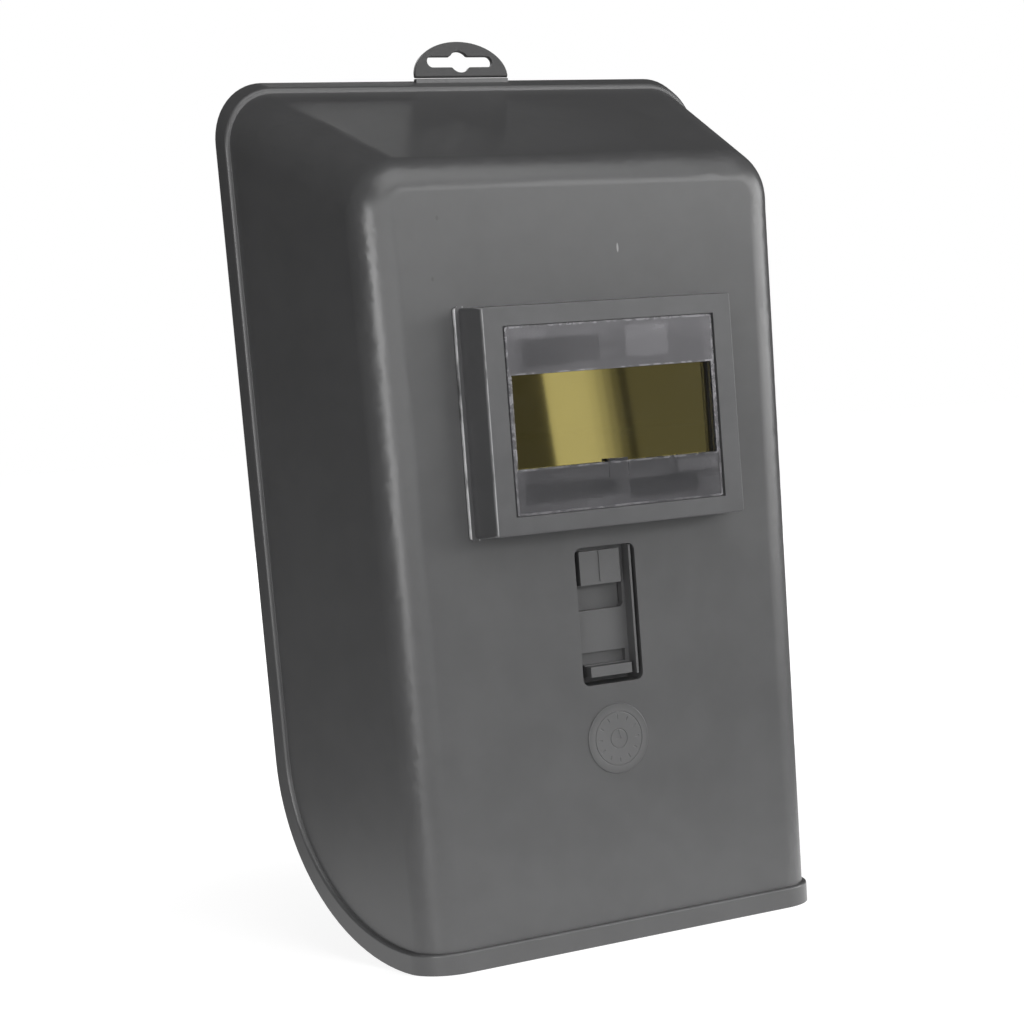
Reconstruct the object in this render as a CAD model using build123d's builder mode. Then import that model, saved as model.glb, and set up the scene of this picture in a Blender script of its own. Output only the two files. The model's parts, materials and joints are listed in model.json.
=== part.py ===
"""Hand-held welding shield: a moulded tub with a glazed window, a plug-in grip and a folding hang tab.

Millimetres. +X to the right seen from the front, -Y out of the front face, +Z up.
The origin is the centre of the shield's footprint, at the height of its lower edge.
"""
from build123d import *
from math import cos, radians, sin, sqrt
import os

# ---------------------------------------------------------------- driving dimensions
# tub: planar walls, each leaning a little outward towards the rim
WALL = 2.5                # thickness of the moulded wall
TUB_DEPTH = 91.4          # front face to the plane of the rim
HALF_WIDTH = 96.15        # half width of the face, sharp corners, at the window's centre
WIDTH_GAIN = 0.019        # half width gained per millimetre of height
SIDE_DRAFT = 0.193        # half width gained per millimetre of depth
FACE_TOP = 103.0          # sharp top edge of the face above the window's centre
TOP_SLOPE = 0.466         # rise of the top wall per millimetre of depth
EDGE_R = 16.6             # round between the face and the walls
CORNER_R = 22.8           # round between the side walls and the top wall

# rim: a stepped lip that follows the open edge
BELOW_WINDOW = 217.5      # window's centre above the lower edge
RIM_ARC_R = 81.5          # the open edge sweeps forward at the bottom on this radius
LIP_OUT = 1.9             # the lip stands this far outside the walls
LIP_WIDTH = 6.9           # width of the lip along the walls
SKIRT_H = 8.7             # its height along the lower edge of the face

# window
LENS_W = 98.0             # standard glass size
LENS_H = 75.0
BOX_W = 117.4             # window housing, at its front
BOX_H = 90.7
BOX_DEPTH = 17.4
BOX_DRAFT_X = 1.8         # growth of each side towards the face
BOX_DRAFT_Z = 0.7
FLANGE_W = 125.0
FLANGE_H = 93.4
FLANGE_T = 1.6
POCKET_W = 100.0          # recess that the cover plate lies in
POCKET_H = 75.7
POCKET_DEPTH = 1.4
POCKET_DROP = 0.35        # the pocket and its plate sit this far below the window's centre
WEB_T = 1.5               # sight mask between the cover plate and the filter
SIGHT_W = 94.5            # clear opening of the mask
SIGHT_H = 37.2
SIGHT_DROP = 0.9          # the opening sits this far below the window's centre
SPIGOT_W = 109.6
SPIGOT_H = 85.6
SPIGOT_GAP = 0.2
SEAT_W = 99.4             # glass seat behind the mask
SEAT_H = 76.4

COVER_T = 1.1
GASKET_T = 1.3
FILTER_T = 3.0
INNER_T = 1.5
CLEAR = 0.3               # air between pieces that move past each other

# handle opening in the face, heights measured down from the window's centre
SLOT_HALF = 14.4
SLOT_TOP = -54.4
SLOT_BOTTOM = -111.0
SLOT_R = 3.0

# badge
BADGE_DROP = 134.0
BADGE_R = 14.5
BADGE_H = 0.6
DIAL_LINE = 0.5           # width of the engraved rings
DIAL_R = 11.4             # outer ring
DIAL_HUB_R = 4.2          # inner ring
DIAL_TICK_R = 8.9         # circle that the twelve ticks stand on
DIAL_TICK = (1.8, 0.6)

# hang tab
TAB_LEAN = 11.0           # degrees behind upright, as moulded
TAB_T = 2.0
TAB_HALF = 22.8
TAB_TALL = 15.0           # hinge axis to the top of the arch
TAB_ROOT_H = 0.8
EURO_W = 32.3
EURO_H = 5.1
EURO_UP = 6.0             # centre of the slot above the hinge axis
EURO_BUMP_R = 4.9
EURO_ROUND = 1.2

# retainer that swings down behind the glasses
FRAME_HALF = 60.0
FRAME_LOW = -48.6
FRAME_HIGH = 52.0
FRAME_T = 2.5
RETAINER_HALF = 53.0
RETAINER_LOW = -46.0
RETAINER_HIGH = 43.5
RETAINER_T = 2.5
VIEW_HALF_W = 43.0        # clear view through the retainer
VIEW_HALF_H = 29.0
SCREW_X = 52.2            # self-tapping screws through the frame into the housing
SCREW_Z = 40.4
SCREW_R = 1.45
SCREW_REACH = -3.5
SCREW_HEAD_T = 1.7
CROSS_FLOOR = 1.0         # bottom of the cross slot above the underside of the head
CROSS_HALF = 0.35
PIN_R = 1.0
PIN_UP = 47.6             # pin above the window's centre
PIN_PLAY = 0.05
LUG_X = (28.0, 46.0)      # a pair of lugs on each side holds a knuckle between them
LUG_W = 4.0

# foot of the grip, seen through the slot in the face; depths are behind the face
TRAY_FLOOR = 5.05
FOOT_BACK = 16.0
FOOT_HALF = 15.8
FENCE_LEFT = 11.4
FENCE_T = 1.0
MOAT_FLOOR = 12.0
LATCH_LEFT = -11.4
LATCH_W = 19.3
LATCH_TOP = -56.0
LATCH_TALL = 14.0
LATCH_FRONT = 1.6
STEM_X = (-9.5, 6.6)
STEM_Z = (-68.6, -57.6)
RIB_X = (-2.2, -1.4)
RIB_FRONT = 1.2
BOSS_X = 20.4
BOSS_Z = (-61.0, -104.5)
BOSS_R = 3.4
BOSS_TALL = 5.0

# grip
GRIP_HALF = 13.0
GRIP_WALL = 2.6
GRIP_ROUND = 4.0
GRIP_BOLTS = ((27.0, -71.0), (27.0, -96.0), (48.5, -180.0))
BOLT_R = 2.0
BOLT_BOSS_R = 4.6
BOLT_HEAD_R = 3.8
BOLT_HEAD_SINK = 2.6      # the heads sit in round pockets this deep
BOLT_POCKET_R = 4.0
NUT_SINK = 3.4            # the nuts sit in six-sided pockets this deep
NUT_T = 3.0
NUT_R = 3.5
KEY_R = 1.5               # six-sided hole in the bolt heads

# ---------------------------------------------------------------- derived places
LEAN = radians(TAB_LEAN)
TAB_AXIS_IN = 1.2         # hinge axis in front of the rim plane
OVERHANG = TAB_TALL * sin(LEAN) + TAB_T / 2 * cos(LEAN) - TAB_AXIS_IN
FACE_Y = (BOX_DEPTH - TUB_DEPTH - OVERHANG) / 2
RIM_Y = FACE_Y + TUB_DEPTH
WIN_Z = BELOW_WINDOW
SIDE_STRETCH = sqrt(1 + WIDTH_GAIN**2 + SIDE_DRAFT**2)
TOP_STRETCH = sqrt(1 + TOP_SLOPE**2)
LIP_TOP = WIN_Z + FACE_TOP + TOP_SLOPE * TUB_DEPTH + LIP_OUT * TOP_STRETCH
TAB_AXIS_Z = LIP_TOP + TAB_ROOT_H + CLEAR + TAB_T / 2
BELOW = -60.0             # the wall planes are carried down to here before the rim trims them
SPAN = 160.0              # wider than half the shield, for cuts that run right across

os.makedirs("parts", exist_ok=True)


def save(piece, name):
    """Label a finished piece and write it as its own file."""
    piece.part.label = name
    export_step(piece.part, f"parts/{name}.step")


def at_depth(depth):
    """Plane facing forward, this far behind the front face."""
    return Plane.XZ.offset(-(FACE_Y + depth))


def block(x, depth, height, mode=Mode.ADD):
    """Box from (low, high) pairs: across, behind the face, and above the window's centre."""
    with BuildSketch(at_depth(depth[1]), mode=Mode.PRIVATE) as area:
        with Locations(((x[0] + x[1]) / 2, WIN_Z + (height[0] + height[1]) / 2)):
            Rectangle(x[1] - x[0], height[1] - height[0])
    extrude(area.sketch, depth[1] - depth[0], mode=mode)


def rod(x, up, depth, radius, mode=Mode.ADD):
    """Round bar that runs front to back between two depths behind the face."""
    with BuildSketch(at_depth(depth[1]), mode=Mode.PRIVATE) as area:
        with Locations((x, WIN_Z + up)):
            Circle(radius)
    extrude(area.sketch, depth[1] - depth[0], mode=mode)


def cross_rod(depth, up, x, radius, mode=Mode.ADD):
    """Round bar that runs from side to side, between two values of X."""
    with BuildSketch(Plane.YZ.offset(x[0]), mode=Mode.PRIVATE) as area:
        with Locations((FACE_Y + depth, WIN_Z + up)):
            Circle(radius)
    extrude(area.sketch, x[1] - x[0], mode=mode)


def cross_screw(x, up, tip, head, head_r, cross):
    """Self-tapping screw from a tip depth to the depth its head sits on, with a cross slot."""
    rod(x, up, (tip, head), SCREW_R)
    rod(x, up, (head, head + SCREW_HEAD_T), head_r)
    slot = (head + CROSS_FLOOR, head + SCREW_HEAD_T + 0.1)
    block((x - cross, x + cross), slot, (up - CROSS_HALF, up + CROSS_HALF), Mode.SUBTRACT)
    block((x - CROSS_HALF, x + CROSS_HALF), slot, (up - cross, up + cross), Mode.SUBTRACT)


def plate(width, height, depth, thickness, drop=0.0, radius=1.0):
    """Flat pane with slightly rounded corners, behind the given depth."""
    with BuildSketch(at_depth(depth + thickness), mode=Mode.PRIVATE) as area:
        with Locations((0, WIN_Z - drop)):
            RectangleRounded(width, height, radius)
    extrude(area.sketch, thickness)


def tub(offset):
    """Space inside the wall planes moved outward by offset, open end carried past the rim."""
    front = -offset
    back = TUB_DEPTH + 8
    top_shift = offset * TOP_STRETCH
    side_shift = offset * SIDE_STRETCH
    with BuildPart() as solid:
        for depth in (front, back):
            top = WIN_Z + FACE_TOP + TOP_SLOPE * depth + top_shift
            level = HALF_WIDTH + SIDE_DRAFT * depth + side_shift
            high = level + WIDTH_GAIN * (top - WIN_Z)
            low = level + WIDTH_GAIN * (BELOW - WIN_Z)
            with BuildSketch(at_depth(depth)):
                with BuildLine():
                    Polyline((-low, BELOW), (-high, top), (high, top), (low, BELOW), close=True)
                make_face()
        loft(ruled=True)
        runs = solid.edges().filter_by(lambda edge: edge.bounding_box().size.Y > TUB_DEPTH / 2)
        fillet(runs.sort_by(Axis.Z)[-2:], CORNER_R + offset)
        face = solid.faces().sort_by(Axis.Y)[0]
        fillet(face.edges().sort_by(Axis.Z)[1:], EDGE_R + offset)
    return solid.part


def inside_rim(inset, floor=None):
    """Side view of everything in front of the open edge, moved in from it by inset, and up by floor."""
    floor = inset if floor is None else floor
    back = RIM_Y - inset
    turn = WIN_Z - (BELOW_WINDOW - RIM_ARC_R)
    centre_y = RIM_Y - RIM_ARC_R
    ahead = FACE_Y - 40
    high = LIP_TOP + 40
    with BuildSketch(Plane.YZ) as view:
        with BuildLine():
            Line((ahead, high), (back, high))
            Line((back, high), (back, turn))
            EllipticalCenterArc((centre_y, turn), RIM_ARC_R - inset, RIM_ARC_R - floor, 270, arc_size=90)
            Line((centre_y, floor), (ahead, floor))
            Line((ahead, floor), (ahead, high))
        make_face()
    return view.sketch


# ---------------------------------------------------------------- shell
walls = tub(0)
cavity = tub(-WALL)
lip_outside = tub(LIP_OUT)
lip_inside = tub(LIP_OUT - WALL)

with BuildPart() as lip:
    add(lip_outside)
    extrude(inside_rim(0), SPAN, both=True, mode=Mode.INTERSECT)
    extrude(inside_rim(LIP_WIDTH, SKIRT_H), SPAN, both=True, mode=Mode.SUBTRACT)

with BuildPart() as lip_hollow:
    add(lip_inside)
    extrude(inside_rim(LIP_WIDTH - WALL, SKIRT_H - WALL), SPAN, both=True, mode=Mode.SUBTRACT)

with BuildPart() as shell:
    add(walls)
    extrude(inside_rim(0), SPAN, both=True, mode=Mode.INTERSECT)
    add(lip.part)
    add(cavity, mode=Mode.SUBTRACT)
    add(lip_hollow.part, mode=Mode.SUBTRACT)
    block(
        (-SPIGOT_W / 2 - SPIGOT_GAP, SPIGOT_W / 2 + SPIGOT_GAP),
        (-1, WALL + 1),
        (-SPIGOT_H / 2 - SPIGOT_GAP, SPIGOT_H / 2 + SPIGOT_GAP),
        Mode.SUBTRACT,
    )
    with BuildSketch(at_depth(WALL + 1)):
        with Locations((0, WIN_Z + (SLOT_TOP + SLOT_BOTTOM) / 2)):
            RectangleRounded(2 * SLOT_HALF, SLOT_TOP - SLOT_BOTTOM, SLOT_R)
    extrude(amount=WALL + 2, mode=Mode.SUBTRACT)
    for side in (-1, 1):
        for up in BOSS_Z:
            rod(side * BOSS_X, up, (WALL - 0.5, WALL + BOSS_TALL), BOSS_R)
            rod(side * BOSS_X, up, (WALL + 1, WALL + BOSS_TALL), SCREW_R, Mode.SUBTRACT)
    rod(0, -BADGE_DROP, (-BADGE_H, 0.5), BADGE_R)
    chamfer(shell.edges().filter_by(GeomType.CIRCLE).sort_by(Axis.Y)[0], BADGE_H / 2)
    # moulding date dial on the badge: a ring, twelve ticks and a pointer, cut in
    with BuildSketch(at_depth(-BADGE_H / 2)):
        with Locations((0, WIN_Z - BADGE_DROP)):
            Circle(DIAL_R)
            Circle(DIAL_R - DIAL_LINE, mode=Mode.SUBTRACT)
            with PolarLocations(DIAL_TICK_R, 12):
                Rectangle(*DIAL_TICK)
            Circle(DIAL_HUB_R)
            Circle(DIAL_HUB_R - DIAL_LINE, mode=Mode.SUBTRACT)
            with Locations((0, 1.2)):
                Triangle(a=2.4, b=4.4, c=4.4)
    extrude(amount=BADGE_H, mode=Mode.SUBTRACT)
    # root of the hang tab, a short rib along the top of the lip
    with BuildSketch(Plane.XY.offset(LIP_TOP - LIP_OUT)):
        with Locations((0, RIM_Y - TAB_AXIS_IN)):
            Rectangle(2 * TAB_HALF, 2 * TAB_AXIS_IN)
    extrude(amount=LIP_OUT + TAB_ROOT_H)
save(shell, "shell")

# ---------------------------------------------------------------- hang tab
TAB_PLANE = Plane(
    origin=(0, RIM_Y - TAB_AXIS_IN, TAB_AXIS_Z), x_dir=(1, 0, 0), z_dir=(0, -cos(LEAN), sin(LEAN))
)
with BuildSketch(TAB_PLANE, mode=Mode.PRIVATE) as euro_slot:
    with Locations((0, EURO_UP)):
        SlotOverall(EURO_W, EURO_H)
        Circle(EURO_BUMP_R)
    inner = euro_slot.vertices().filter_by(lambda p: abs(p.X) < EURO_BUMP_R)
    fillet(inner, EURO_ROUND)

with BuildPart() as hang_tab:
    with BuildSketch(TAB_PLANE):
        with BuildLine():
            EllipticalCenterArc((0, 0), TAB_HALF, TAB_TALL, 0, arc_size=180)
            Line((-TAB_HALF, 0), (TAB_HALF, 0))
        make_face()
        add(euro_slot.sketch_local, mode=Mode.SUBTRACT)
    extrude(amount=TAB_T / 2, both=True)
    with BuildSketch(Plane.YZ.offset(-TAB_HALF)):
        with Locations((RIM_Y - TAB_AXIS_IN, TAB_AXIS_Z)):
            Circle(TAB_T / 2)
    extrude(amount=2 * TAB_HALF)
save(hang_tab, "hang_tab")

# ---------------------------------------------------------------- window
WEB_FRONT = POCKET_DEPTH - BOX_DEPTH
WEB_BACK = WEB_FRONT + WEB_T
FILTER_FRONT = WEB_BACK + GASKET_T
INNER_FRONT = FILTER_FRONT + FILTER_T
STACK_BACK = INNER_FRONT + INNER_T
FINGER_HALF = 4.5
FINGER_SLIT = 0.4
FINGER_ROOT = -26.0
FINGER_TIP = -18.4

with BuildPart() as window_housing:
    with BuildSketch(at_depth(0)):
        with Locations((0, WIN_Z)):
            RectangleRounded(BOX_W + 2 * BOX_DRAFT_X, BOX_H + 2 * BOX_DRAFT_Z, 1.6)
    with BuildSketch(at_depth(-BOX_DEPTH)):
        with Locations((0, WIN_Z)):
            RectangleRounded(BOX_W, BOX_H, 1.2)
    loft()
    fillet(window_housing.faces().sort_by(Axis.Y)[0].edges(), 0.5)
    plate(FLANGE_W, FLANGE_H, -FLANGE_T, FLANGE_T, radius=2)
    fillet(window_housing.edges().filter_by(Axis.Z).sort_by(Axis.X)[0], 0.6)
    plate(SPIGOT_W, SPIGOT_H, 0, WALL)
    block((-POCKET_W / 2, POCKET_W / 2), (-BOX_DEPTH - 1, WEB_FRONT),
          (-POCKET_H / 2 - POCKET_DROP, POCKET_H / 2 - POCKET_DROP), Mode.SUBTRACT)
    block((-SEAT_W / 2, SEAT_W / 2), (WEB_BACK, WALL + 1), (-SEAT_H / 2, SEAT_H / 2), Mode.SUBTRACT)
    block((-SIGHT_W / 2, SIGHT_W / 2), (-BOX_DEPTH, 0),
          (-SIGHT_DROP - SIGHT_H / 2, -SIGHT_DROP + SIGHT_H / 2), Mode.SUBTRACT)
    # sprung finger cut free of the mask, its tip standing up into the opening
    for side in (-1, 1):
        slit = side * (FINGER_HALF + FINGER_SLIT / 2)
        block((slit - FINGER_SLIT / 2, slit + FINGER_SLIT / 2), (-BOX_DEPTH, 0),
              (FINGER_ROOT, -SIGHT_DROP - SIGHT_H / 2 + 1), Mode.SUBTRACT)
    block((-FINGER_HALF, FINGER_HALF), (WEB_FRONT, WEB_BACK), (FINGER_ROOT, FINGER_TIP))
    for side in (-1, 1):
        for up in (-SCREW_Z, SCREW_Z):
            rod(side * SCREW_X, up, (SCREW_REACH, WALL), SCREW_R, Mode.SUBTRACT)
save(window_housing, "window_housing")

with BuildPart() as cover_plate:
    plate(LENS_W, LENS_H, WEB_FRONT - COVER_T, COVER_T, drop=POCKET_DROP)
    # small round mark of the moulding gate
    rod(9.4, 34.2, (WEB_FRONT - COVER_T - 0.2, WEB_FRONT - COVER_T), 1.5)
save(cover_plate, "cover_plate")

with BuildPart() as lens_gasket:
    plate(LENS_W, LENS_H, WEB_BACK, GASKET_T)
    block((-SIGHT_W / 2 + 0.3, SIGHT_W / 2 - 0.3), (WEB_BACK - 1, FILTER_FRONT + 1),
          (-SIGHT_DROP - SIGHT_H / 2 - 1, -SIGHT_DROP + SIGHT_H / 2 + 1), Mode.SUBTRACT)
save(lens_gasket, "lens_gasket")

with BuildPart() as filter_glass:
    plate(LENS_W, LENS_H, FILTER_FRONT, FILTER_T)
save(filter_glass, "filter_glass")

with BuildPart() as inner_plate:
    plate(LENS_W, LENS_H, INNER_FRONT, INNER_T)
save(inner_plate, "inner_plate")

# ---------------------------------------------------------------- frame and retainer behind the window
FRAME_BACK = WALL + FRAME_T
RETAINER_FRONT = FRAME_BACK + CLEAR
RETAINER_BACK = RETAINER_FRONT + RETAINER_T
KNUCKLE_R = 2.0
LUG_MARGIN = 0.4          # the lugs stand this far outside the knuckles
LEDGE_GAP = 1.0           # stop ledge below the retainer's free edge
PIN_DEPTH = RETAINER_FRONT + KNUCKLE_R

with BuildPart() as inner_frame:
    block((-FRAME_HALF, FRAME_HALF), (WALL, FRAME_BACK), (FRAME_LOW, FRAME_HIGH))
    fillet(inner_frame.edges().filter_by(Axis.Y), 3)
    block((-SEAT_W / 2, SEAT_W / 2), (WALL - 1, FRAME_BACK + 1), (-SEAT_H / 2, SEAT_H / 2), Mode.SUBTRACT)
    for side in (-1, 1):
        for x in LUG_X:
            low = side * x - LUG_W / 2
            reach = KNUCKLE_R + LUG_MARGIN
            block((low, low + LUG_W), (FRAME_BACK, PIN_DEPTH), (PIN_UP - reach, PIN_UP + reach))
            cross_rod(PIN_DEPTH, PIN_UP, (low, low + LUG_W), reach)
    # stop ledge with a small click bump under the retainer's free edge
    ledge = RETAINER_LOW - LEDGE_GAP
    block((-9, 9), (FRAME_BACK, RETAINER_BACK + 1.5), (FRAME_LOW, ledge))
    block((-6, 6), (RETAINER_BACK + 0.4, RETAINER_BACK + 1.3), (ledge, ledge + LEDGE_GAP / 2))
    cross_rod(PIN_DEPTH, PIN_UP, (-SPAN / 2, SPAN / 2), PIN_R, Mode.SUBTRACT)
    for side in (-1, 1):
        for up in (-SCREW_Z, SCREW_Z):
            rod(side * SCREW_X, up, (WALL, FRAME_BACK), SCREW_R, Mode.SUBTRACT)
save(inner_frame, "inner_frame")

with BuildPart() as frame_screws:
    for side in (-1, 1):
        for up in (-SCREW_Z, SCREW_Z):
            cross_screw(side * SCREW_X, up, SCREW_REACH, FRAME_BACK, head_r=2.6, cross=1.8)
save(frame_screws, "frame_screws")

COLLAR_HALF = 48.6
COLLAR_TOP = 36.4
COLLAR_LOW = -35.8
COLLAR_WALL = 2.5
PAD_BACK = STACK_BACK + 1.5
with BuildPart() as retainer_frame:
    block((-RETAINER_HALF, RETAINER_HALF), (RETAINER_FRONT, RETAINER_BACK), (RETAINER_LOW, RETAINER_HIGH))
    fillet(retainer_frame.edges().filter_by(Axis.Y), 2.5)
    for corner in (-1, 1):
        for up in (-SCREW_Z, SCREW_Z):
            rod(corner * SCREW_X, up, (RETAINER_FRONT - 1, RETAINER_BACK + 1), 3.6, Mode.SUBTRACT)
    block((-COLLAR_HALF, COLLAR_HALF), (PAD_BACK, RETAINER_FRONT), (COLLAR_LOW, COLLAR_TOP))
    block((COLLAR_WALL - COLLAR_HALF, COLLAR_HALF - COLLAR_WALL), (PAD_BACK + COLLAR_WALL, RETAINER_BACK + 1),
          (COLLAR_LOW + COLLAR_WALL, COLLAR_TOP - COLLAR_WALL), Mode.SUBTRACT)
    block((-VIEW_HALF_W, VIEW_HALF_W), (STACK_BACK, PAD_BACK + 5), (-VIEW_HALF_H, VIEW_HALF_H),
          Mode.SUBTRACT)
    for side in (-1, 1):
        middle = side * sum(LUG_X) / 2
        half = (LUG_X[1] - LUG_X[0] - LUG_W) / 2 - CLEAR
        block((middle - half, middle + half), (RETAINER_FRONT, RETAINER_BACK), (RETAINER_HIGH - 1, PIN_UP))
        cross_rod(PIN_DEPTH, PIN_UP, (middle - half, middle + half), KNUCKLE_R)
    # thumb lip along the free edge
    block((-14, 14), (RETAINER_BACK, RETAINER_BACK + 4), (RETAINER_LOW + 3, RETAINER_LOW + 5))
    cross_rod(PIN_DEPTH, PIN_UP, (-SPAN / 2, SPAN / 2), PIN_R + PIN_PLAY, Mode.SUBTRACT)
save(retainer_frame, "retainer_frame")

with BuildPart() as retainer_pads:
    for up in ((COLLAR_LOW, -VIEW_HALF_H), (VIEW_HALF_H, COLLAR_TOP)):
        block((-COLLAR_HALF + 1, COLLAR_HALF - 1), (STACK_BACK, PAD_BACK), (up[0] + 0.6, up[1] - 0.6))
save(retainer_pads, "retainer_pads")

with BuildPart() as retainer_pins:
    for side in (-1, 1):
        ends = sorted((side * (LUG_X[0] - LUG_W / 2 - 1), side * (LUG_X[1] + LUG_W / 2 + 1)))
        cross_rod(PIN_DEPTH, PIN_UP, ends, PIN_R)
save(retainer_pins, "retainer_pins")

# ---------------------------------------------------------------- foot of the grip
FENCE_RIGHT = FENCE_LEFT + FENCE_T
WINDOW_X = (-13.0, 10.1)
WINDOW_Z = (-80.6, -57.0)
WINDOW_R = 2.0
CHANNEL_X = (-13.4, 10.5)
CHANNEL_Z = (-104.0, -56.6)
CHANNEL_DEPTH = (8.1, 12.5)
LEAF_X = (-12.9, 10.0)
LEAF_Z = (-86.0, -57.2)
LEAF_DEPTH = (8.4, 10.4)
TENON_HALF = 6.0
TENON_BACK = 38.0
TENON_TOP = -65.5
TENON_LOW = -105.0
FOOT_MARGIN = 1.4         # the foot is larger than the opening in the face all round
TRAY_LOW = -108.3
EAR_T = 3.0               # ears that are screwed to the shell's bosses
EAR_FRONT = WALL + BOSS_TALL
EAR_BACK = EAR_FRONT + EAR_T
LOWER_RECESS_X = (-12.0, 9.6)
LOWER_RECESS_Z = (-103.0, -98.0)
LOWER_RECESS_DEPTH = 7.4
BAR_X = (-10.3, 9.4)      # cross bar at the lower end of the tray
BAR_Z = (-107.8, -103.5)
BAR_FRONT = 0.3
BAR_NOTCH_X = (-SLOT_HALF, -10.4)
BAR_NOTCH_Z = (-110.0, -103.0)
BAR_NOTCH_DEPTH = 8.0

with BuildPart() as grip_foot:
    block((-FOOT_HALF, FOOT_HALF), (WALL, FOOT_BACK), (SLOT_BOTTOM - FOOT_MARGIN, SLOT_TOP + FOOT_MARGIN))
    block((-BOSS_X - 4.5, BOSS_X + 4.5), (EAR_FRONT, EAR_BACK), (BOSS_Z[1] - 5, BOSS_Z[0] + 5))
    fillet(grip_foot.edges().filter_by(Axis.Y).sort_by(Axis.X)[:2], 3)
    fillet(grip_foot.edges().filter_by(Axis.Y).sort_by(Axis.X)[-2:], 3)
    # tray, and the deep slots that run round it
    block((-SLOT_HALF, FENCE_LEFT), (0, TRAY_FLOOR), (TRAY_LOW, SLOT_TOP), Mode.SUBTRACT)
    block((FENCE_RIGHT, SLOT_HALF), (0, MOAT_FLOOR), (SLOT_BOTTOM, SLOT_TOP), Mode.SUBTRACT)
    block((-SLOT_HALF, SLOT_HALF), (0, MOAT_FLOOR), (SLOT_BOTTOM, TRAY_LOW), Mode.SUBTRACT)
    block(BAR_NOTCH_X, (0, BAR_NOTCH_DEPTH), BAR_NOTCH_Z, Mode.SUBTRACT)
    block((FENCE_LEFT, FENCE_RIGHT), (-0.1, TRAY_FLOOR + 1), (TRAY_LOW, SLOT_TOP - 0.6))
    # hollow for the sliding catch, its window in the tray, and the lower recess
    block(CHANNEL_X, CHANNEL_DEPTH, CHANNEL_Z, Mode.SUBTRACT)
    with BuildSketch(at_depth(CHANNEL_DEPTH[1])):
        with Locations((sum(WINDOW_X) / 2, WIN_Z + sum(WINDOW_Z) / 2)):
            RectangleRounded(WINDOW_X[1] - WINDOW_X[0], WINDOW_Z[1] - WINDOW_Z[0], WINDOW_R)
    extrude(amount=CHANNEL_DEPTH[1], mode=Mode.SUBTRACT)
    block(LOWER_RECESS_X, (0, LOWER_RECESS_DEPTH), LOWER_RECESS_Z, Mode.SUBTRACT)
    block(BAR_X, (BAR_FRONT, TRAY_FLOOR + 1), BAR_Z)
    # tenon that the two halves of the grip close on
    block((-TENON_HALF, TENON_HALF), (FOOT_BACK, TENON_BACK), (TENON_LOW, TENON_TOP))
    for depth, up in GRIP_BOLTS[:2]:
        cross_rod(depth, up, (-GRIP_HALF, GRIP_HALF), BOLT_R, Mode.SUBTRACT)
    for side in (-1, 1):
        for up in BOSS_Z:
            rod(side * BOSS_X, up, (WALL, EAR_BACK), SCREW_R, Mode.SUBTRACT)
save(grip_foot, "grip_foot")

with BuildPart() as foot_screws:
    for side in (-1, 1):
        for up in BOSS_Z:
            cross_screw(side * BOSS_X, up, WALL + 1, EAR_BACK, head_r=2.8, cross=1.9)
save(foot_screws, "foot_screws")

with BuildPart() as catch_slider:
    # thumb block in the tray, the stem through its window, the leaf in the hollow, and a grip rib
    latch_low = LATCH_TOP - LATCH_TALL
    block((LATCH_LEFT, LATCH_LEFT + LATCH_W), (LATCH_FRONT, TRAY_FLOOR - CLEAR), (latch_low, LATCH_TOP))
    block(STEM_X, (TRAY_FLOOR - 1, LEAF_DEPTH[0] + 0.5), STEM_Z)
    block(LEAF_X, LEAF_DEPTH, LEAF_Z)
    block(RIB_X, (RIB_FRONT, LATCH_FRONT + 0.4), (latch_low + 1.2, LATCH_TOP - 0.3))
save(catch_slider, "catch_slider")

SPRING_TURNS = 5
SPRING_WIRE = 0.9
SPRING_HALF = 6.0
SPRING_X = -1.4
with BuildPart() as catch_spring:
    pitch = (LEAF_Z[0] - CHANNEL_Z[0] - 2 * CLEAR) / (2 * SPRING_TURNS)
    with BuildSketch(at_depth(LEAF_DEPTH[1])):
        for turn in range(2 * SPRING_TURNS + 1):
            level = WIN_Z + CHANNEL_Z[0] + CLEAR + turn * pitch
            level = min(max(level, WIN_Z + CHANNEL_Z[0] + CLEAR + SPRING_WIRE / 2),
                        WIN_Z + LEAF_Z[0] - CLEAR - SPRING_WIRE / 2)
            with Locations((SPRING_X, level)):
                Rectangle(2 * SPRING_HALF, SPRING_WIRE)
        for turn in range(2 * SPRING_TURNS):
            side = 1 if turn % 2 else -1
            level = WIN_Z + CHANNEL_Z[0] + CLEAR + (turn + 0.5) * pitch
            with Locations((SPRING_X + side * (SPRING_HALF - SPRING_WIRE / 2), level)):
                Rectangle(SPRING_WIRE, pitch)
    extrude(amount=LEAF_DEPTH[1] - LEAF_DEPTH[0])
save(catch_spring, "catch_spring")

# ---------------------------------------------------------------- grip
GROOVES = 4
GROOVE_TOP = -119.0
GROOVE_STEP = 17.0
GROOVE_SINK = 2.0
GRIP_FRONT = 35.5
GRIP_BACK = 64.0
GRIP_LOW = -203.0


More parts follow.
